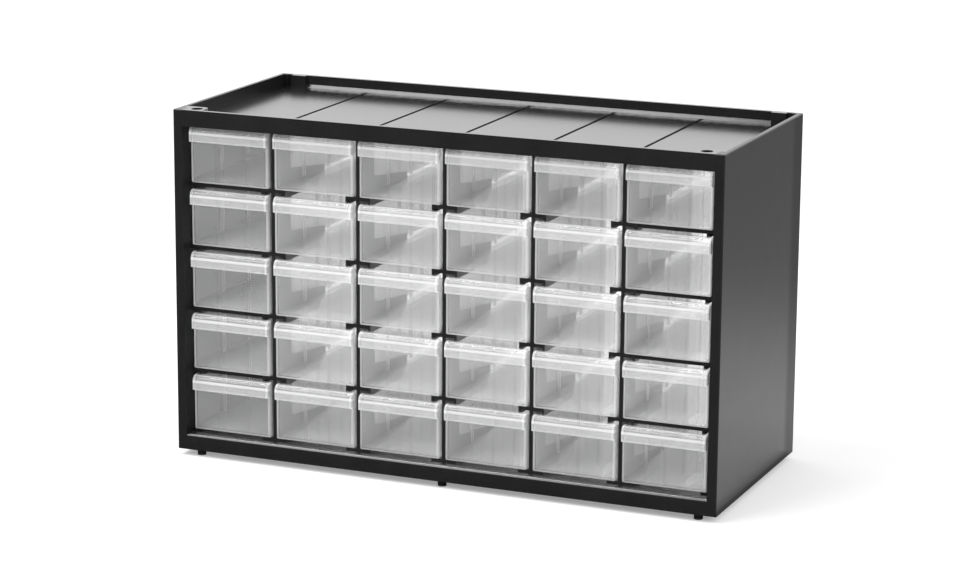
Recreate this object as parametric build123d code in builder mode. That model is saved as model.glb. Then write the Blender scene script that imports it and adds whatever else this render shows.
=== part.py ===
from build123d import *
import os

os.makedirs("parts", exist_ok=True)

# ---------------------------------------------------------------------------
# Parts bin cabinet: a black moulded housing, open at the back, with clear
# drawers in six columns and five rows.  Millimetres.  X is the width, the
# front looks along -Y, Z is up.  The origin is on the ground, in the middle
# of the footprint.  The housing is sized around its drawers.
# ---------------------------------------------------------------------------

# grid
COLUMNS = 6
ROWS = 5

# drawer
DRAWER_W = 54.2            # outside width
DRAWER_L = 138.0           # front face to back face, without the lip
SIDE_H = 33.8              # height of the sides and the back
DRAWER_WALL = 1.4
DRAWER_FLOOR = 1.4
FRONT_T = 2.0              # thickness of the front plate
CORNER_R = 3.0             # rear corners, outside
FOOT_R = 1.0               # rounding along the bottom edges
FACE_R = 0.6               # rounding of the front plate's and the lip's ends
LIP_REACH = 3.0            # how far the pull lip stands in front of the plate
LIP_FACE = 5.5             # flat height of the lip's face
LIP_NOSE = 4.1             # height of its rounded shoulder
LIP_WALL = 1.5
GUIDE_STATIONS = (38.0, 74.0, 110.0)   # partition slots, from the front face
GUIDE_W = 1.1              # one guide rib, along the drawer
GUIDE_REACH = 0.9          # how far it stands off the side
GUIDE_SLOT = 1.7           # between the two ribs of a slot
GUIDE_TOP = 7.0            # the ribs end this far below the side's top

# running clearances
RUN_GAP = 0.3              # drawer above its rails
SIDE_GAP = 1.0             # drawer to a divider's front bead
HEAD_GAP = 1.35            # drawer sides below the hooks of the rails above
STOP_LAP = 1.15            # front plate's top overlaps the hooks: the closed stop
STOP_GAP = 0.3             # front plate to the rail ends when closed
WALL_CLEAR = 2.7           # outer drawer to the corner post
TRAY_GAP = 0.6             # top row's front plates below the tray

# dividers and rails
WEB_T = 2.0
BEAD_T = 2.4               # thickened front edge
BEAD_D = 3.0
STRIP_D = 22.0             # depth of the full-height front strip
ARM_L = 50.5               # arm behind the strip
ARM_ROOT = 9.8             # arm's height above the rail at the strip
ARM_TIP = 3.6              # and at its end
ARM_BELOW = 3.5            # web below the rail's upper face
ARM_END_R = 3.4
WINDOW_R = 3.0
RAIL_REACH = 7.5           # rail beyond the web's face
RAIL_L = 49.0              # length of the rail's outer edge and its hook
RAIL_TAPER = 20.0          # behind it the rail narrows to the web over this length
RAIL_TIP = 1.2             # beyond the web's face at its rear end
RAIL_T = 2.4
HOOK_T = 1.6
HOOK_DROP = 2.6
WALL_RAIL_REACH = 7.0      # side panel's rail beyond the corner post
HEADER_H = 6.0             # strip of the divider below the tray
TIE_D = 3.0                # tie bar across the outer columns

# housing
POST_W = 6.2
POST_D = 10.0
REAR_POST_D = 4.0
SKIN_T = 3.0
LIP_SETBACK = 3.7          # lips behind the front plane
REAR_ROOM = 10.3           # behind the drawers
BAND_D = 7.0               # upright stiffening band inside each side panel
BAND_T = 1.0
BAND_Y = 50.0              # its distance from the front
BASE_TOP = 9.6             # floor above the housing's underside
BASE_T = 2.5
SKIRT_T = 3.0
SILL_H = 10.8              # flat top of the front sill
SILL_BEVEL = 3.0           # rounding of its upper front edge, from the front
SILL_BEVEL_H = 2.7         # and in height
TRAY_T = 2.5
RIM_H = 8.0                # rim above the tray's floor
RIM_T = 3.0
COVE = 2.0                 # bevel where the front and rear rims meet the tray's floor
EDGE_R = 0.8
TONGUE = 1.2               # plate edges let into the side panels
TONGUE_T = 2.0             # thickness of that edge, from the plate's underside
FIT = 0.1                  # clearance around a tongue
SLOT_FIT = 0.2             # clearance of a divider in its slot
TONGUE_SINK = 1.6          # divider tongue below the tray's floor
BASE_GROOVE = 1.5          # groove depth in the base for a divider
GROOVE_FIT = 0.3           # clearance below the divider in that groove
SLOT_END_W = 4.0           # widened rear end of a tray slot
SLOT_END_L = 3.0

# stacking
PEG_D = 5.6
PEG_H = 4.4
PEG_INSET_X = 13.5         # from the side
PEG_INSET_Y = 7.0          # from the front
REAR_PEG_INSET_Y = 10.0    # from the back, in front of the rear bosses below
BOSS_WALL = 1.8
HOLE_D = 7.4
HOLE_DEPTH = 6.0
BLOCK_INNER = 19.0         # front corner block, from the side
BLOCK_D = 14.0             # front corner block, from the front
BLOCK_R = 4.0              # its inner corner
REAR_BOSS_OUTER = 9.5      # rear boss, from the side
REAR_BOSS_W = 10.0
REAR_BOSS_D = 6.0          # from the back

# ---------------------------------------------------------------------------
# worked out from the values above
# ---------------------------------------------------------------------------
FRONT_H = SIDE_H + HEAD_GAP + STOP_LAP
COL_PITCH = DRAWER_W + 2 * SIDE_GAP + BEAD_T
ROW_PITCH = RUN_GAP + SIDE_H + HEAD_GAP + HOOK_DROP + RAIL_T
INNER_HALF = (COLUMNS * COL_PITCH - BEAD_T) / 2 - SIDE_GAP + WALL_CLEAR
WIDTH = 2 * (INNER_HALF + POST_W)
DEPTH = LIP_SETBACK + LIP_REACH + DRAWER_L + REAR_ROOM
FRONT_Y = -DEPTH / 2
BACK_Y = DEPTH / 2
SKIN_IN = WIDTH / 2 - SKIN_T           # inner face of a side panel's skin

BODY_Z = PEG_H                         # underside of the housing
FLOOR_Z = BODY_Z + BASE_TOP
RAIL_Z = [FLOOR_Z + RAIL_T + (ROWS - 1 - r) * ROW_PITCH for r in range(ROWS)]
TRAY_UNDER = RAIL_Z[0] + RUN_GAP + FRONT_H + TRAY_GAP
TRAY_FLOOR = TRAY_UNDER + TRAY_T
TOP_Z = TRAY_FLOOR + RIM_H
HEAD_RAIL_T = TRAY_GAP + STOP_LAP      # flange below the tray, stop of the top row

COLUMN_X = [(c - (COLUMNS - 1) / 2) * COL_PITCH for c in range(COLUMNS)]
DIVIDER_X = [(c + 1 - COLUMNS / 2) * COL_PITCH for c in range(COLUMNS - 1)]

PLATE_Y = FRONT_Y + LIP_SETBACK + LIP_REACH   # front face of the drawers
RAIL_Y = PLATE_Y + FRONT_T + STOP_GAP         # front ends of rails and dividers
STRIP_END = RAIL_Y + STRIP_D
ARM_END = STRIP_END + ARM_L
DRAWER_BACK = PLATE_Y + DRAWER_L
SLOT_END = BACK_Y - RIM_T - COVE              # rear end of a tray slot
HEADER_END = SLOT_END - SLOT_END_L            # rear end of the divider's header
WALL_RAIL_IN = INNER_HALF - WALL_RAIL_REACH   # inner edge of a side panel's rail
RAIL_HALF = WEB_T / 2 + RAIL_REACH
PEG_X = WIDTH / 2 - PEG_INSET_X
PEG_Y = (FRONT_Y + PEG_INSET_Y, BACK_Y - REAR_PEG_INSET_Y)
RAIL_END = RAIL_Y + RAIL_L


def block(x, y, z, mode=Mode.ADD):
    """A block between the pairs x, y and z, added to the part being built."""
    with BuildSketch(Plane.XY.offset(z[0])) as face:
        with Locations(((x[0] + x[1]) / 2, (y[0] + y[1]) / 2)):
            Rectangle(x[1] - x[0], y[1] - y[0])
    extrude(face.sketch, amount=z[1] - z[0], mode=mode)


def along_y(points, y, mode=Mode.ADD):
    """A closed (x, z) outline carried from y[0] to y[1]."""
    with BuildSketch(Plane.XZ.offset(-y[0])) as face:
        with BuildLine():
            Polyline(*points, close=True)
        make_face()
    extrude(face.sketch, amount=-(y[1] - y[0]), mode=mode)


def along_x(points, x, mode=Mode.ADD):
    """A closed (y, z) outline carried from x[0] to x[1]."""
    with BuildSketch(Plane.YZ.offset(x[0])) as face:
        with BuildLine():
            Polyline(*points, close=True)
        make_face()
    extrude(face.sketch, amount=x[1] - x[0], mode=mode)


def narrowing(z):
    """The rear end of a divider's rail, which narrows from its full width to the web."""
    tip = WEB_T / 2 + RAIL_TIP
    with BuildSketch(Plane.XY.offset(z[0])) as face:
        with BuildLine():
            Polyline((-RAIL_HALF, RAIL_END), (RAIL_HALF, RAIL_END), (tip, RAIL_END + RAIL_TAPER),
                     (-tip, RAIL_END + RAIL_TAPER), close=True)
        make_face()
    extrude(face.sketch, amount=z[1] - z[0])


def save(piece, name):
    """Label one finished piece and write it."""
    piece.part.label = name
    export_step(piece.part, "parts/" + name + ".step")


def place(piece, name, x, z):
    """Write a copy of one finished piece, moved along X and Z."""
    with BuildPart() as copy:
        with Locations((x, 0, z)):
            add(piece.part)
    save(copy, name)


# ---------------------------------------------------------------------------
# dividers: one lattice plate between two columns
# ---------------------------------------------------------------------------
def divider():
    """Front strip, an arm with two hooked rails for each row, and a header, at x = 0."""
    web = (-WEB_T / 2, WEB_T / 2)
    with BuildPart() as plate:
        with BuildSketch(Plane.YZ.offset(web[0])):
            with BuildLine():
                corners = [(RAIL_Y, FLOOR_Z), (RAIL_Y, TRAY_UNDER), (HEADER_END, TRAY_UNDER),
                           (HEADER_END, TRAY_UNDER - HEADER_H), (STRIP_END, TRAY_UNDER - HEADER_H)]
                for level in RAIL_Z:
                    foot = level - (RAIL_T if level == RAIL_Z[-1] else ARM_BELOW)
                    corners += [(STRIP_END, level + ARM_ROOT), (ARM_END, level + ARM_TIP), (ARM_END, foot)]
                    if level != RAIL_Z[-1]:
                        corners += [(STRIP_END, foot)]
                Polyline(*corners, close=True)
            outline = make_face()
            inner = [v for v in outline.vertices() if abs(v.X - STRIP_END) < 0.01]
            tips = [v for v in outline.vertices() if abs(v.X - ARM_END) < 0.01 and v.Y > RAIL_Z[-1]]
            fillet(inner, WINDOW_R)
            fillet(tips, ARM_END_R)
        extrude(amount=WEB_T)
        # thickened front edge
        block((-BEAD_T / 2, BEAD_T / 2), (RAIL_Y, RAIL_Y + BEAD_D), (FLOOR_Z, TRAY_UNDER))
        # hooked rails on both sides
        for level in RAIL_Z[:-1]:
            under = level - RAIL_T
            hook = under - HOOK_DROP
            edge = RAIL_HALF - HOOK_T
            along_y([(-RAIL_HALF, level), (RAIL_HALF, level), (RAIL_HALF, hook), (edge, hook),
                     (edge, under), (-edge, under), (-edge, hook), (-RAIL_HALF, hook)], (RAIL_Y, RAIL_END))
            narrowing((under, level))
        # lowest rail lies on the base; flange and tongues at top and bottom
        block((-RAIL_HALF, RAIL_HALF), (RAIL_Y, RAIL_END), (FLOOR_Z, RAIL_Z[-1]))
        narrowing((FLOOR_Z, RAIL_Z[-1]))
        block((-RAIL_HALF, RAIL_HALF), (RAIL_Y, HEADER_END), (TRAY_UNDER - HEAD_RAIL_T, TRAY_UNDER))
        block(web, (RAIL_Y, HEADER_END), (TRAY_UNDER, TRAY_FLOOR - TONGUE_SINK))
        block(web, (RAIL_Y + BEAD_D, ARM_END - BEAD_D), (FLOOR_Z - BASE_GROOVE + GROOVE_FIT, FLOOR_Z))
    return plate


plate = divider()
for number, x in enumerate(DIVIDER_X, start=1):
    place(plate, "divider_%d" % number, x, 0)


# ---------------------------------------------------------------------------
# side panels: skin, corner posts, rails and the tie bars of the outer column
# ---------------------------------------------------------------------------
def side_panel(name, side):
    """side is -1 for the left panel and 1 for the right one."""
    outer, inner, post = side * WIDTH / 2, side * SKIN_IN, side * INNER_HALF
    rail_in = side * WALL_RAIL_IN
    hook_out = side * (WALL_RAIL_IN + HOOK_T)
    tie_end = side * (DIVIDER_X[-1] + RAIL_HALF)
    with BuildPart() as panel:
        with BuildSketch(Plane.XY.offset(BODY_Z)):
            with BuildLine():
                Polyline((outer, FRONT_Y), (outer, BACK_Y), (post, BACK_Y), (post, BACK_Y - REAR_POST_D),
                         (inner, BACK_Y - REAR_POST_D), (inner, FRONT_Y + POST_D),
                         (post, FRONT_Y + POST_D), (post, FRONT_Y), close=True)
            make_face()
        extrude(amount=TOP_Z - BODY_Z)
        fillet(panel.edges().filter_by(Axis.Z).filter_by(lambda e: abs(e.center().X - outer) < 0.01), EDGE_R)
        fillet(panel.faces().sort_by(Axis.Z)[-1].edges().filter_by(
            lambda e: abs(e.center().X - outer) < 0.01), EDGE_R)
        # upright band
        x_band = sorted((inner, inner - side * BAND_T))
        block(x_band, (FRONT_Y + BAND_Y, FRONT_Y + BAND_Y + BAND_D), (FLOOR_Z, TRAY_UNDER))
        rails = (RAIL_Y, BACK_Y - REAR_POST_D)
        for level in RAIL_Z[:-1]:
            under = level - RAIL_T
            hook = under - HOOK_DROP
            along_y([(inner, level), (rail_in, level), (rail_in, hook), (hook_out, hook),
                     (hook_out, under), (inner, under)], rails)
            block(sorted((tie_end, rail_in)), (RAIL_Y, RAIL_Y + TIE_D), (under, level))
        block(sorted((inner, rail_in)), rails, (FLOOR_Z, RAIL_Z[-1]))
        block(sorted((inner, rail_in)), rails, (TRAY_UNDER - HEAD_RAIL_T, TRAY_UNDER))
        # grooves for the edges of the base and the tray
        groove_x = sorted((inner, inner + side * (TONGUE + FIT)))
        groove_y = (FRONT_Y + POST_D, BACK_Y - REAR_POST_D)
        for under in (FLOOR_Z - BASE_T, TRAY_UNDER):
            block(groove_x, groove_y, (under - FIT, under + TONGUE_T + FIT), Mode.SUBTRACT)
    save(panel, name)


side_panel("left_side_panel", -1)
side_panel("right_side_panel", 1)


def plate_between(z, front):
    """A plate that fills the housing's plan between skins and posts, from front to the back."""
    half = SKIN_IN + TONGUE
    block((-INNER_HALF, INNER_HALF), (front, BACK_Y), z)
    block((-SKIN_IN, SKIN_IN), (FRONT_Y + POST_D, BACK_Y - REAR_POST_D), z)
    block((-half, half), (FRONT_Y + POST_D + FIT, BACK_Y - REAR_POST_D - FIT), (z[0], z[0] + TONGUE_T))


# ---------------------------------------------------------------------------
# top tray: slotted floor, front and rear rims, two blocks with stacking holes
# at the front corners, two shallow bosses at the rear ones
# ---------------------------------------------------------------------------
with BuildPart() as tray:
    plate_between((TRAY_UNDER, TRAY_FLOOR), FRONT_Y)
    for y in ((FRONT_Y, FRONT_Y + RIM_T), (BACK_Y - RIM_T, BACK_Y)):
        block((-INNER_HALF, INNER_HALF), y, (TRAY_FLOOR, TOP_Z))
    for side in (-1, 1):
        block(sorted((side * (WIDTH / 2 - BLOCK_INNER), side * INNER_HALF)), (FRONT_Y, FRONT_Y + BLOCK_D),
              (TRAY_FLOOR, TOP_Z))
        block(sorted((side * INNER_HALF, side * SKIN_IN)), (FRONT_Y + POST_D, FRONT_Y + BLOCK_D),
              (TRAY_FLOOR, TOP_Z))
        corner = tray.edges().filter_by(Axis.Z).filter_by(lambda e: abs(e.center().Y - FRONT_Y - BLOCK_D) < 0.01 and abs(
            e.center().X - side * (WIDTH / 2 - BLOCK_INNER)) < 0.01)
        fillet(corner, BLOCK_R)
        boss_x = side * (WIDTH / 2 - REAR_BOSS_OUTER)
        block(sorted((boss_x, boss_x - side * REAR_BOSS_W)), (BACK_Y - REAR_BOSS_D, BACK_Y), (TRAY_FLOOR, TOP_Z))
    # bevels where the rims meet the floor
    rear_half = WIDTH / 2 - REAR_BOSS_OUTER - REAR_BOSS_W
    for y, turn, half in ((FRONT_Y + RIM_T, 1, WIDTH / 2 - BLOCK_INNER), (BACK_Y - RIM_T, -1, rear_half)):
        along_x([(y, TRAY_FLOOR), (y + turn * COVE, TRAY_FLOOR), (y, TRAY_FLOOR + COVE)], (-half, half))
    # one slot over each divider, widened at its rear end
    slot_w = WEB_T + 2 * SLOT_FIT
    for x in DIVIDER_X:
        block((x - slot_w / 2, x + slot_w / 2), (RAIL_Y - SLOT_FIT, HEADER_END + SLOT_FIT),
              (TRAY_UNDER, TRAY_FLOOR + COVE), Mode.SUBTRACT)
        block((x - SLOT_END_W / 2, x + SLOT_END_W / 2), (SLOT_END - SLOT_END_L, SLOT_END),
              (TRAY_UNDER, TRAY_FLOOR + COVE), Mode.SUBTRACT)
    # stacking holes
    with BuildSketch(Plane.XY.offset(TOP_Z - HOLE_DEPTH)):
        with Locations((-PEG_X, PEG_Y[0]), (PEG_X, PEG_Y[0])):
            Circle(HOLE_D / 2)
    extrude(amount=HOLE_DEPTH, mode=Mode.SUBTRACT)
save(tray, "top_tray")


# ---------------------------------------------------------------------------
# base: floor plate, front sill with a rounded edge, rear skirt, six stacking pegs
# ---------------------------------------------------------------------------
with BuildPart() as base:
    plate_between((FLOOR_Z - BASE_T, FLOOR_Z), FRONT_Y + SILL_BEVEL)
    # front sill with a rounded upper edge
    sill_top = BODY_Z + SILL_H
    with BuildSketch(Plane.YZ.offset(-INNER_HALF)):
        with BuildLine():
            Polyline((FRONT_Y + SILL_BEVEL, sill_top), (RAIL_Y, sill_top), (RAIL_Y, FLOOR_Z - BASE_T),
                     (FRONT_Y + SKIRT_T, FLOOR_Z - BASE_T), (FRONT_Y + SKIRT_T, BODY_Z), (FRONT_Y, BODY_Z),
                     (FRONT_Y, sill_top - SILL_BEVEL_H))
            EllipticalCenterArc((FRONT_Y + SILL_BEVEL, sill_top - SILL_BEVEL_H), SILL_BEVEL, SILL_BEVEL_H,
                                start_angle=90, arc_size=90)
        make_face()
    extrude(amount=2 * INNER_HALF)
    block((-INNER_HALF, INNER_HALF), (BACK_Y - SKIRT_T, BACK_Y), (BODY_Z, FLOOR_Z))
    for x in DIVIDER_X:
        block((x - WEB_T / 2 - SLOT_FIT, x + WEB_T / 2 + SLOT_FIT),
              (RAIL_Y + BEAD_D - SLOT_FIT, ARM_END - BEAD_D + SLOT_FIT),
              (FLOOR_Z - BASE_GROOVE, FLOOR_Z), Mode.SUBTRACT)
    peg_places = [(x, y) for x in (-PEG_X, 0, PEG_X) for y in PEG_Y]
    with BuildSketch(Plane.XY.offset(BODY_Z)):
        with Locations(*peg_places):
            Circle(PEG_D / 2 + BOSS_WALL)
    extrude(amount=FLOOR_Z - BASE_T - BODY_Z)
    with BuildSketch(Plane.XY):
        with Locations(*peg_places):
            Circle(PEG_D / 2)
    extrude(amount=PEG_H)
save(base, "base_panel")


# ---------------------------------------------------------------------------
# drawers: clear boxes with a hollow pull lip and slots for partitions
# ---------------------------------------------------------------------------
def drawer():
    """One drawer, centred on x = 0, with its underside at z = 0."""
    half = DRAWER_W / 2
    plate_back = PLATE_Y + FRONT_T
    lip_front = PLATE_Y - LIP_REACH
    lip_bottom = FRONT_H - LIP_NOSE - LIP_FACE
    # pull lip with the upper part of the front plate: a rounded shoulder, a flat face
    with BuildPart() as lip:
        with BuildSketch(Plane.YZ.offset(-half)):
            with BuildLine():
                Line((plate_back, FRONT_H), (PLATE_Y + FRONT_T / 2, FRONT_H))
                EllipticalCenterArc((PLATE_Y + FRONT_T / 2, FRONT_H - LIP_NOSE),
                                    LIP_REACH + FRONT_T / 2, LIP_NOSE, start_angle=90, arc_size=90)
                Line((lip_front, FRONT_H - LIP_NOSE), (lip_front, lip_bottom))
                Line((lip_front, lip_bottom), (plate_back, lip_bottom))
                Line((plate_back, lip_bottom), (plate_back, FRONT_H))
            make_face()
        extrude(amount=DRAWER_W)
        ends = lip.faces().filter_by(Axis.X).edges()
        fillet(ends.filter_by(lambda e: e.center().Y < PLATE_Y and e.center().Z > lip_bottom + 0.1), FACE_R)
    with BuildPart() as tub:
        block((-half, half), (PLATE_Y, DRAWER_BACK), (0, SIDE_H))
        upright = tub.edges().filter_by(Axis.Z).group_by(Axis.Y)
        fillet(upright[-1], CORNER_R)
        fillet(tub.edges().filter_by(Axis.Z).group_by(Axis.Y)[0], FACE_R)
        fillet(tub.faces().sort_by(Axis.Z)[0].edges(), FOOT_R)
        # hollow, with rounded rear corners
        inside_y = (plate_back, DRAWER_BACK - DRAWER_WALL)
        with BuildSketch(Plane.XY.offset(DRAWER_FLOOR)) as pocket:
            with Locations((0, (inside_y[0] + inside_y[1]) / 2)):
                Rectangle(DRAWER_W - 2 * DRAWER_WALL, inside_y[1] - inside_y[0])
            fillet(pocket.vertices().group_by(Axis.Y)[-1], CORNER_R - DRAWER_WALL)
        extrude(amount=SIDE_H, mode=Mode.SUBTRACT)
        add(lip.part)
        # the lip is hollow and open below
        block((-half + LIP_WALL, half - LIP_WALL), (lip_front + LIP_WALL, PLATE_Y),
              (lip_bottom, lip_bottom + LIP_FACE), Mode.SUBTRACT)
        # guide ribs for partitions
        for station in GUIDE_STATIONS:
            for edge in (-GUIDE_SLOT / 2 - GUIDE_W, GUIDE_SLOT / 2):
                rib_y = (PLATE_Y + station + edge, PLATE_Y + station + edge + GUIDE_W)
                for side in (-1, 1):
                    wall = side * (half - DRAWER_WALL)
                    block(sorted((wall, wall - side * GUIDE_REACH)), rib_y,
                          (DRAWER_FLOOR, SIDE_H - GUIDE_TOP))
    return tub


tub = drawer()
for row, rail in enumerate(RAIL_Z, start=1):
    for column, x in enumerate(COLUMN_X, start=1):
        place(tub, "drawer_r%d_c%d" % (row, column), x, rail + RUN_GAP)

print("size", round(WIDTH, 2), round(DEPTH, 2), round(TOP_Z, 2))
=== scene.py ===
import math

import bpy
from mathutils import Matrix, Vector

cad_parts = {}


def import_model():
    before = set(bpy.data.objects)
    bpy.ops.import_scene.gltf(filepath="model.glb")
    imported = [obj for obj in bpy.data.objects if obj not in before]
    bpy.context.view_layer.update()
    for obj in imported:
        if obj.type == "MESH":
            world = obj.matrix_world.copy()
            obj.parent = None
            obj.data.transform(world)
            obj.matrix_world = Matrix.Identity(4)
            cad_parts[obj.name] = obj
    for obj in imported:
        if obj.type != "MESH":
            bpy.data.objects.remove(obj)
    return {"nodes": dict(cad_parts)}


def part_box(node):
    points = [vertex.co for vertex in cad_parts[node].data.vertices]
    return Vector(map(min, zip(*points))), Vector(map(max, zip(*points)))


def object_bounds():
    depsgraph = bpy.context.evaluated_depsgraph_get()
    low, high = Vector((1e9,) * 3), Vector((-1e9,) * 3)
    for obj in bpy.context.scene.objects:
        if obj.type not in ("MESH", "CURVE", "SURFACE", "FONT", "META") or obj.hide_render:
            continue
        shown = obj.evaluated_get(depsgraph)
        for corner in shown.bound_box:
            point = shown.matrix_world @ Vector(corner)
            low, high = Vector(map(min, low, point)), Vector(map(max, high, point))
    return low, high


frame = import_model()
cad_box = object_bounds()

MM = 0.001

# ---------------------------------------------------------------------------
# sizes read from the frame, in metres
# ---------------------------------------------------------------------------
HOUSING = [n for n in frame["nodes"] if not n.startswith("drawer")]
DRAWERS = [n for n in frame["nodes"] if n.startswith("drawer")]
LOW, HIGH = cad_box
WIDTH = HIGH.x - LOW.x
DEPTH = HIGH.y - LOW.y
PANEL_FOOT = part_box("left_side_panel")[0].z      # underside of the housing
FRONT_FOOT = Vector((0, LOW.y, PANEL_FOOT))      # middle of the front's bottom edge

# the grid of drawers, from the one at the lower left and its neighbours
CORNER, CORNER_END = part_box("drawer_r5_c1")
PITCH_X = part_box("drawer_r5_c2")[0].x - CORNER.x
PITCH_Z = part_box("drawer_r4_c1")[0].z - CORNER.z
DRAWER_HALF = (CORNER_END.x - CORNER.x) / 2
DRAWER_TOP = CORNER_END.z - CORNER.z
COLUMN_X = CORNER.x + DRAWER_HALF                # middle of the first column

# the pull lip: how far it stands out, and the heights of its nose and of its face
LIP_REACH, LIP_NOSE, LIP_FACE = 3 * MM, 4.1 * MM, 5.5 * MM
PLATE_Y = CORNER.y + LIP_REACH                   # front face of the drawers


# ---------------------------------------------------------------------------
# shader maths
# ---------------------------------------------------------------------------
class Value:
    """A number carried by a socket.  Arithmetic on it adds Math nodes to its tree."""

    def __init__(self, shader, socket):
        self.shader, self.socket = shader, socket

    def _math(self, operation, *others):
        return self.shader.node("ShaderNodeMath", {"operation": operation}, (self, *others))

    def __add__(self, other): return self._math("ADD", other)
    def __sub__(self, other): return self._math("SUBTRACT", other)
    def __mul__(self, other): return self._math("MULTIPLY", other)
    def __rsub__(self, other): return (self * -1) + other
    __radd__, __rmul__ = __add__, __mul__

    def largest(self, other): return self._math("MAXIMUM", other)
    def within(self, pitch): return self._math("FLOORED_MODULO", pitch)
    def from_middle(self, pitch): return self._math("PINGPONG", pitch / 2)
    def power(self, exponent): return self._math("POWER", exponent)
    def size(self): return (self * self).power(0.5)

    def step(self, start, end):
        """0 up to start and 1 from end, smooth between."""
        settings = {"interpolation_type": "SMOOTHSTEP"}
        values = {"Value": self, "From Min": start, "From Max": end}
        return self.shader.node("ShaderNodeMapRange", settings, values)

    def line(self, centre, half):
        """1 on the line at centre, 0 from half away."""
        return 1 - (self - centre).size().step(half * 0.4, half)


class Shader:
    """The node tree of one material or world, with one method that adds any node."""

    def __init__(self, owner):
        owner.use_nodes = True
        self.tree = owner.node_tree
        self.tree.nodes.clear()

    def node(self, kind, settings=None, values=None, output=0):
        """Adds a node, sets its settings, then its sockets, by position or by name."""
        made = self.tree.nodes.new(kind)
        for name, setting in (settings or {}).items():
            setattr(made, name, setting)
        pairs = values.items() if isinstance(values, dict) else enumerate(values or ())
        for name, value in pairs:
            if isinstance(value, Value):
                self.tree.links.new(value.socket, made.inputs[name])
            elif value is not None:
                made.inputs[name].default_value = value
        return Value(self, made.outputs[output])

    def place(self):
        """x, y and z of the point, in the frame of the object."""
        point = self.node("ShaderNodeTexCoord", output="Object")
        return [self.node("ShaderNodeSeparateXYZ", None, (point,), axis) for axis in "XYZ"]

    def noise(self, scale, detail=3.0, stretch=(1, 1, 1)):
        """Noise between 0 and 1 with features of about 1 / scale metres."""
        point = self.node("ShaderNodeTexCoord", output="Object")
        point = self.node("ShaderNodeMapping", None, {"Vector": point, "Scale": stretch}, "Vector")
        values = {"Vector": point, "Scale": scale, "Detail": detail}
        return self.node("ShaderNodeTexNoise", None, values, "Fac")

    def rays(self, *kinds):
        """1 for a ray of each kind and 0 for any other, as a list."""
        path = self.tree.nodes.new("ShaderNodeLightPath")
        return [Value(self, path.outputs["Is %s Ray" % kind]) for kind in kinds]

    def mix(self, factor, first, second):
        """The colour first, turning into second as factor goes from 0 to 1."""
        made = self.tree.nodes.new("ShaderNodeMix")
        made.data_type = "RGBA"
        for name, value in (("Factor_Float", factor), ("A_Color", first), ("B_Color", second)):
            socket = next(s for s in made.inputs if s.identifier == name)
            if isinstance(value, Value):
                self.tree.links.new(value.socket, socket)
            else:
                socket.default_value = value
        return Value(self, next(s for s in made.outputs if s.identifier == "Result_Color"))

    def mix_shaders(self, factor, first, second):
        """The shader first, turning into second as factor goes from 0 to 1."""
        return self.node("ShaderNodeMixShader", None, (factor, first, second))

    def bump(self, height, depth):
        """A normal from a height between 0 and 1 that stands for depth metres."""
        values = {"Strength": 1.0, "Distance": depth, "Height": height}
        return self.node("ShaderNodeBump", None, values, "Normal")

    def surface(self, shader, kind="ShaderNodeOutputMaterial"):
        out = self.tree.nodes.new(kind)
        self.tree.links.new(shader.socket, out.inputs["Surface"])


def grey(level):
    """A neutral colour of that level."""
    return (level, level, level, 1.0)


def finish(name):
    material = bpy.data.materials.new(name)
    return material, Shader(material)


# ---------------------------------------------------------------------------
# black polystyrene
# ---------------------------------------------------------------------------
BLACK = (0.011, 0.011, 0.012, 1.0)
# a paler black: in random patches it is tone, over a side panel's field it is painted light
WORN_AND_PAINTED_PALE_BLACK = (0.020, 0.020, 0.021, 1.0)
PATCH_SCALE, GRAIN_SCALE = 55.0, 1500.0          # patches of 18 mm, grain of 0.7 mm
ROUGHNESS_SPREAD = 0.06                          # between the patches
FIELD_ROUGHNESS = 0.10                           # added in the field, a rougher area that is painted paler


def moulded_black(name, roughness, grain, coat, ior=1.55, field=None):
    """Black polystyrene with a fine spark-eroded grain, grain metres deep.

    field(shader) gives the mask of a rougher area, painted paler, and the
    mask that scales the coat, by which sheen and shade are painted.
    """
    material, s = finish(name)
    patches = s.noise(PATCH_SCALE, 4.0)
    fine = s.noise(GRAIN_SCALE, 2.0)
    colour = s.mix(patches, BLACK, WORN_AND_PAINTED_PALE_BLACK)
    rough = patches * ROUGHNESS_SPREAD + (roughness - ROUGHNESS_SPREAD / 2)
    if field:
        mask, painted_sheen_and_shade = field(s)
        # painted light: the field is made paler than the bands around it
        colour = s.mix(mask, colour, WORN_AND_PAINTED_PALE_BLACK)
        rough = rough + mask * FIELD_ROUGHNESS
        # painted sheen and shade: the coat is scaled by position
        coat = painted_sheen_and_shade * coat
    s.surface(s.node("ShaderNodeBsdfPrincipled", None, {
        "Base Color": colour, "Roughness": rough, "IOR": ior,
        "Coat Weight": coat, "Coat Roughness": 0.16, "Coat IOR": 1.5,
        "Normal": s.bump(fine, grain)}))
    return material


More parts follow.
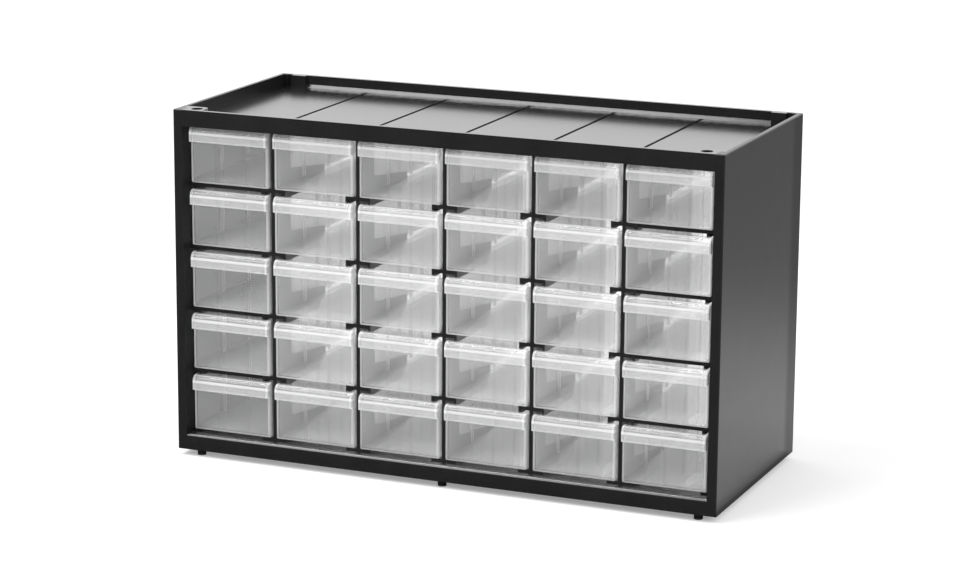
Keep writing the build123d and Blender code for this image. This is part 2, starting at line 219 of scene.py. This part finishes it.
def panel_field_with_painted_light(s):
    """The rougher field of a side panel's outer face, painted paler, and the coat that paints the
    panel's sheen and shade.

    The field stops short of a band along the rear and one along the bottom,
    which get no coat: painted shade.  The field's coat grows a little from the top down, a painted
    sheen towards the foot.
    The upper edge of the panel gets the most coat, a painted highlight.
    """
    x, y, z = s.place()
    # painted shade: bands along the rear and the bottom, left without the paler colour and without
    # coat
    before_rear = 1 - y.step(HIGH.y - 24 * MM, HIGH.y - 13 * MM)
    above_foot = z.step(PANEL_FOOT + 2.5 * MM, PANEL_FOOT + 4.5 * MM)
    outside = (x * x).step((HIGH.x - 1.2 * MM) ** 2, (HIGH.x - 0.6 * MM) ** 2)
    field = above_foot * before_rear * outside
    # painted sheen: the coat grows towards the foot; painted highlight: the most coat along the
    # upper edge
    painted_sheen_towards_foot = 1 - z.step(PANEL_FOOT, HIGH.z)
    painted_top_edge_highlight = z.step(HIGH.z - 0.9 * MM, HIGH.z - 0.4 * MM)
    return field, (field * (painted_sheen_towards_foot * 0.12 + 0.31)).largest(painted_top_edge_highlight * 0.7)


# ---------------------------------------------------------------------------
# clear polystyrene
# ---------------------------------------------------------------------------
# shares of the light that scatter white, seen square on; on the lip's edges, the rim and the ribs
# they are painted highlights
HAZE, HAZE_SPREAD = 0.075, 0.05                  # a plain face, and its unevenness
LIP_HAZE = 0.12                                  # more in the pull lip
LIP_EDGE_PAINTED_HIGHLIGHT, LIP_FOOT_PAINTED_HIGHLIGHT = 0.30, 0.10        # painted highlights on its upper edges and its lower one
RIM_PAINTED_BRIGHTENING = 0.22                                  # painted brightening before a wall or the floor seen end-on
RIB_PAINTED_HIGHLIGHT = 0.20                                  # painted highlight on the guide ribs

MIRROR_SQUARE_ON = 0.04                          # share mirrored by a face seen square on
LEAST_COSINE = 0.24                              # haze grows no more past this slant
FACE_CLEAR, SHADOW_CLEAR = 0.985, 0.98           # light let through, seen and as lighting
MILK = (0.93, 0.935, 0.935, 1.0)
WAVE_DEPTH = 0.05 * MM                           # of the flow marks


def drawer_haze_and_painted_highlights(x, y, z):
    """The haze that is added to a plain face's in the lip, and the painted highlights on its
    edges, the rim and the ribs.
    """
    across = (x - COLUMN_X).from_middle(PITCH_X)
    height = (z - (CORNER.z - 1 * MM)).within(PITCH_Z) - 1 * MM

    lip = 1 - y.step(PLATE_Y - 0.4 * MM, PLATE_Y - 0.1 * MM)
    # painted highlights along the lip's crest and nose, and along its foot
    crest = height.step(DRAWER_TOP - 1.2 * MM, DRAWER_TOP - 0.2 * MM)
    upper_edge_highlight = height.line(DRAWER_TOP - LIP_NOSE, 1.3 * MM).largest(crest)
    lower_edge_highlight = height.line(DRAWER_TOP - LIP_NOSE - LIP_FACE, 0.9 * MM)

    # painted brightening: the front plate is made whiter before a wall or the floor seen end-on
    plate = 1 - y.step(PLATE_Y + 1.8 * MM, PLATE_Y + 2.4 * MM)
    wall_behind = across.step(DRAWER_HALF - 2.0 * MM, DRAWER_HALF - 1.4 * MM)
    floor_behind = 1 - height.step(1.0 * MM, 1.6 * MM)
    rim = plate * wall_behind.largest(floor_behind)

    # painted highlight: the guide ribs are made whiter
    past_rib_tip = across.step(DRAWER_HALF - 2.45 * MM, DRAWER_HALF - 2.2 * MM)
    in_wall = across.step(DRAWER_HALF - 1.6 * MM, DRAWER_HALF - 1.45 * MM)
    behind_plate = y.step(PLATE_Y + 3 * MM, PLATE_Y + 4 * MM)
    above_floor = height.step(1.6 * MM, 2.0 * MM)
    ribs = past_rib_tip * (1 - in_wall) * behind_plate * above_floor

    lip_haze_and_painted_highlights = lip * (upper_edge_highlight * LIP_EDGE_PAINTED_HIGHLIGHT + lower_edge_highlight * LIP_FOOT_PAINTED_HIGHLIGHT + LIP_HAZE)
    return lip_haze_and_painted_highlights + rim * RIM_PAINTED_BRIGHTENING + ribs * RIB_PAINTED_HIGHLIGHT


def clear_plastic():
    """Clear polystyrene, a little milky.

    Light passes straight through each face, less a share that it mirrors,
    0.04 + 0.96 (1 - cos)^5, and a share that scatters white, which grows as
    1 / cos with the way through the wall.
    """
    material, s = finish("clear_polystyrene")
    x, y, z = s.place()
    flow = s.noise(16.0, 3.0, (1.0, 0.35, 2.2))
    facing = s.node("ShaderNodeLayerWeight", None, {"Blend": 0.5}, "Facing")
    waves = s.bump(flow, WAVE_DEPTH)

    slant = (1 - facing).largest(LEAST_COSINE).power(-1.0)
    # the haze, with the painted highlights of the lip's edges, the rim and the ribs
    haze_and_painted_highlights = (flow * HAZE_SPREAD + (HAZE - HAZE_SPREAD / 2)) * slant + drawer_haze_and_painted_highlights(x, y, z)
    scatter = s.node("ShaderNodeBsdfPrincipled", None, {
        "Base Color": MILK, "Roughness": 0.5, "Specular IOR Level": 0.0, "Normal": waves})
    through = s.node("ShaderNodeBsdfTransparent", None, {"Color": grey(FACE_CLEAR)})
    body = s.mix_shaders(haze_and_painted_highlights, through, scatter)

    mirror = s.node("ShaderNodeBsdfGlossy", None, {
        "Color": grey(1.0), "Roughness": flow * 0.05 + 0.02, "Normal": waves})
    mirrored = facing.power(5.0) * (1 - MIRROR_SQUARE_ON) + MIRROR_SQUARE_ON
    face = s.mix_shaders(mirrored, body, mirror)

    shadow, scattered = s.rays("Shadow", "Diffuse")
    unlit = s.node("ShaderNodeBsdfTransparent", None, {"Color": grey(SHADOW_CLEAR)})
    s.surface(s.mix_shaders(shadow.largest(scattered), face, unlit))
    return material


def dress(nodes, material):
    for name in nodes:
        slots = frame["nodes"][name].data.materials
        slots.clear()
        slots.append(material)


dress([n for n in HOUSING if "side_panel" in n],
      moulded_black("black_side_panel", 0.30, 0.02 * MM, 1.0, ior=1.22, field=panel_field_with_painted_light))
dress(["top_tray", "base_panel"],
      moulded_black("black_glossy_moulding", 0.20, 0.008 * MM, 1.0))
dress([n for n in HOUSING if "divider" in n],
      moulded_black("black_lattice", 0.30, 0.015 * MM, 0.6))
dress(DRAWERS, clear_plastic())


# ---------------------------------------------------------------------------
# floor, light and camera
# ---------------------------------------------------------------------------
def staged_sheet(name, near, far, half, height, material):
    """A level oblong from y = near to y = far, half metres wide to each side.

    It is no part of the object.
    """
    mesh = bpy.data.meshes.new(name)
    corners = [(-half, near, height), (half, near, height),
               (half, far, height), (-half, far, height)]
    mesh.from_pydata(corners, [], [(0, 1, 2, 3)])
    mesh.materials.append(material)
    sheet = bpy.data.objects.new(name, mesh)
    bpy.context.collection.objects.link(sheet)
    return sheet


def floor():
    """A white sheet under the object.

    Rays that see it directly find plain white, dimmed by its shadow.
    Mirrored, it is painted dark: painted shade in the gap under the object's foot,
    and a painted falloff of light from 30 mm out, as a lit table has in a dim room.
    """
    material, s = finish("white_floor")
    lens, mirrored, glass = s.rays("Camera", "Glossy", "Transmission")
    x, y, z = s.place()
    beside = (x.size() - WIDTH / 2).largest(y.size() - DEPTH / 2)
    # painted in reflections alone: a falloff of light from 30 to 550 mm out, and shade in the gap
    # under the foot
    painted_light_falloff = beside.step(30 * MM, 550 * MM)
    painted_shade_under_foot = 1 - beside.step(6 * MM, 16 * MM)
    reflection_painted_dark = painted_light_falloff.largest(painted_shade_under_foot)
    seen = lens.largest(glass).largest(mirrored * (1 - reflection_painted_dark))
    s.surface(s.node("ShaderNodeBsdfPrincipled", None, {
        "Base Color": s.mix(mirrored * reflection_painted_dark, grey(0.86), grey(0.40)),
        "Roughness": 0.8, "Specular IOR Level": 0.0,
        "Emission Color": s.mix(seen, grey(0.0), grey(0.30)), "Emission Strength": 1.0}))
    staged_sheet("floor", near=-6.0, far=6.0, half=6.0, height=0.0, material=material)


def painted_shade_card():
    """A dark sheet before the object, seen in reflections alone: painted shade, for the unlit room
    there.
    """
    material, s = finish("painted_shade_card")
    s.surface(s.node("ShaderNodeBsdfDiffuse", None, {"Color": grey(0.02)}))
    card = staged_sheet("painted_shade_card", near=LOW.y - 4.0, far=LOW.y + 0.01, half=3.0, height=MM,
                        material=material)
    for ray in ("camera", "diffuse", "transmission", "shadow"):
        setattr(card, "visible_" + ray, False)


def world():
    """White seen directly.

    Mirrored, it is white behind and above the object and dark where the
    camera stands.  As light, it is a little less than white.
    """
    room = bpy.data.worlds.new("studio")
    bpy.context.scene.world = room
    s = Shader(room)
    lens, glass, mirrored = s.rays("Camera", "Transmission", "Glossy")
    direction = s.node("ShaderNodeTexCoord", output="Generated")
    y = s.node("ShaderNodeSeparateXYZ", None, (direction,), "Y")
    reflected = s.mix(y.step(-0.5, 0.35), grey(0.03), grey(0.9))
    level = s.mix(mirrored, grey(0.80), reflected)
    level = s.mix(lens.largest(glass), level, grey(1.0))
    background = s.node("ShaderNodeBackground", None, {"Color": level, "Strength": 1.0})
    s.surface(background, "ShaderNodeOutputWorld")


def area_lamp(name, place, across, power, along=None, target=None):
    """An area lamp at place, across metres wide and as long, or along metres long in X.

    It looks at target, or straight down.
    """
    lamp = bpy.data.lights.new(name, "AREA")
    lamp.energy = power
    if along:
        lamp.shape, lamp.size, lamp.size_y = "RECTANGLE", along, across
    else:
        lamp.shape, lamp.size = "SQUARE", across
    light = bpy.data.objects.new(name, lamp)
    light.location = place
    if target:
        back = Vector(place) - Vector(target)
        light.rotation_euler = back.to_track_quat("Z", "Y").to_euler()
    bpy.context.collection.objects.link(light)


def camera():
    """The photograph's view: a long lens, to the right of the front and a little above."""
    azimuth, elevation, roll = (math.radians(v) for v in (22.6, 13.4, 0.44))
    distance, aside, above, focal_px, image_w = 1.9275, 0.0317, 0.117, 3095, 980
    back = Vector((math.sin(azimuth) * math.cos(elevation),
                   -math.cos(azimuth) * math.cos(elevation), math.sin(elevation)))
    right = Vector((math.cos(azimuth), math.sin(azimuth), 0))
    up = back.cross(right)
    data = bpy.data.cameras.new("camera")
    data.sensor_width = 36.0
    data.lens = focal_px / image_w * data.sensor_width
    view = bpy.data.objects.new("camera", data)
    turned = right * math.cos(roll) + up * math.sin(roll)
    upright = up * math.cos(roll) - right * math.sin(roll)
    view.matrix_world = Matrix((turned, upright, back)).transposed().to_4x4()
    view.location = FRONT_FOOT + back * distance + right * aside + up * above
    bpy.context.collection.objects.link(view)
    bpy.context.scene.camera = view


MIDDLE = (0, 0, 0.11)                            # of the object, which the softboxes face

floor()
# painted shade, seen in reflections alone
painted_shade_card()
world()
area_lamp("key", (-0.9, -1.3, 1.5), across=1.2, power=16, target=MIDDLE)
area_lamp("fill", (1.6, -0.5, 0.9), across=1.0, power=8, target=MIDDLE)
area_lamp("overhead", (-0.57, -0.285, 1.4), across=0.22, along=0.7, power=6)
camera()

scene = bpy.context.scene
scene.view_settings.view_transform = "Standard"
scene.cycles.max_bounces = 20
scene.cycles.transmission_bounces = 20
scene.cycles.transparent_max_bounces = 24
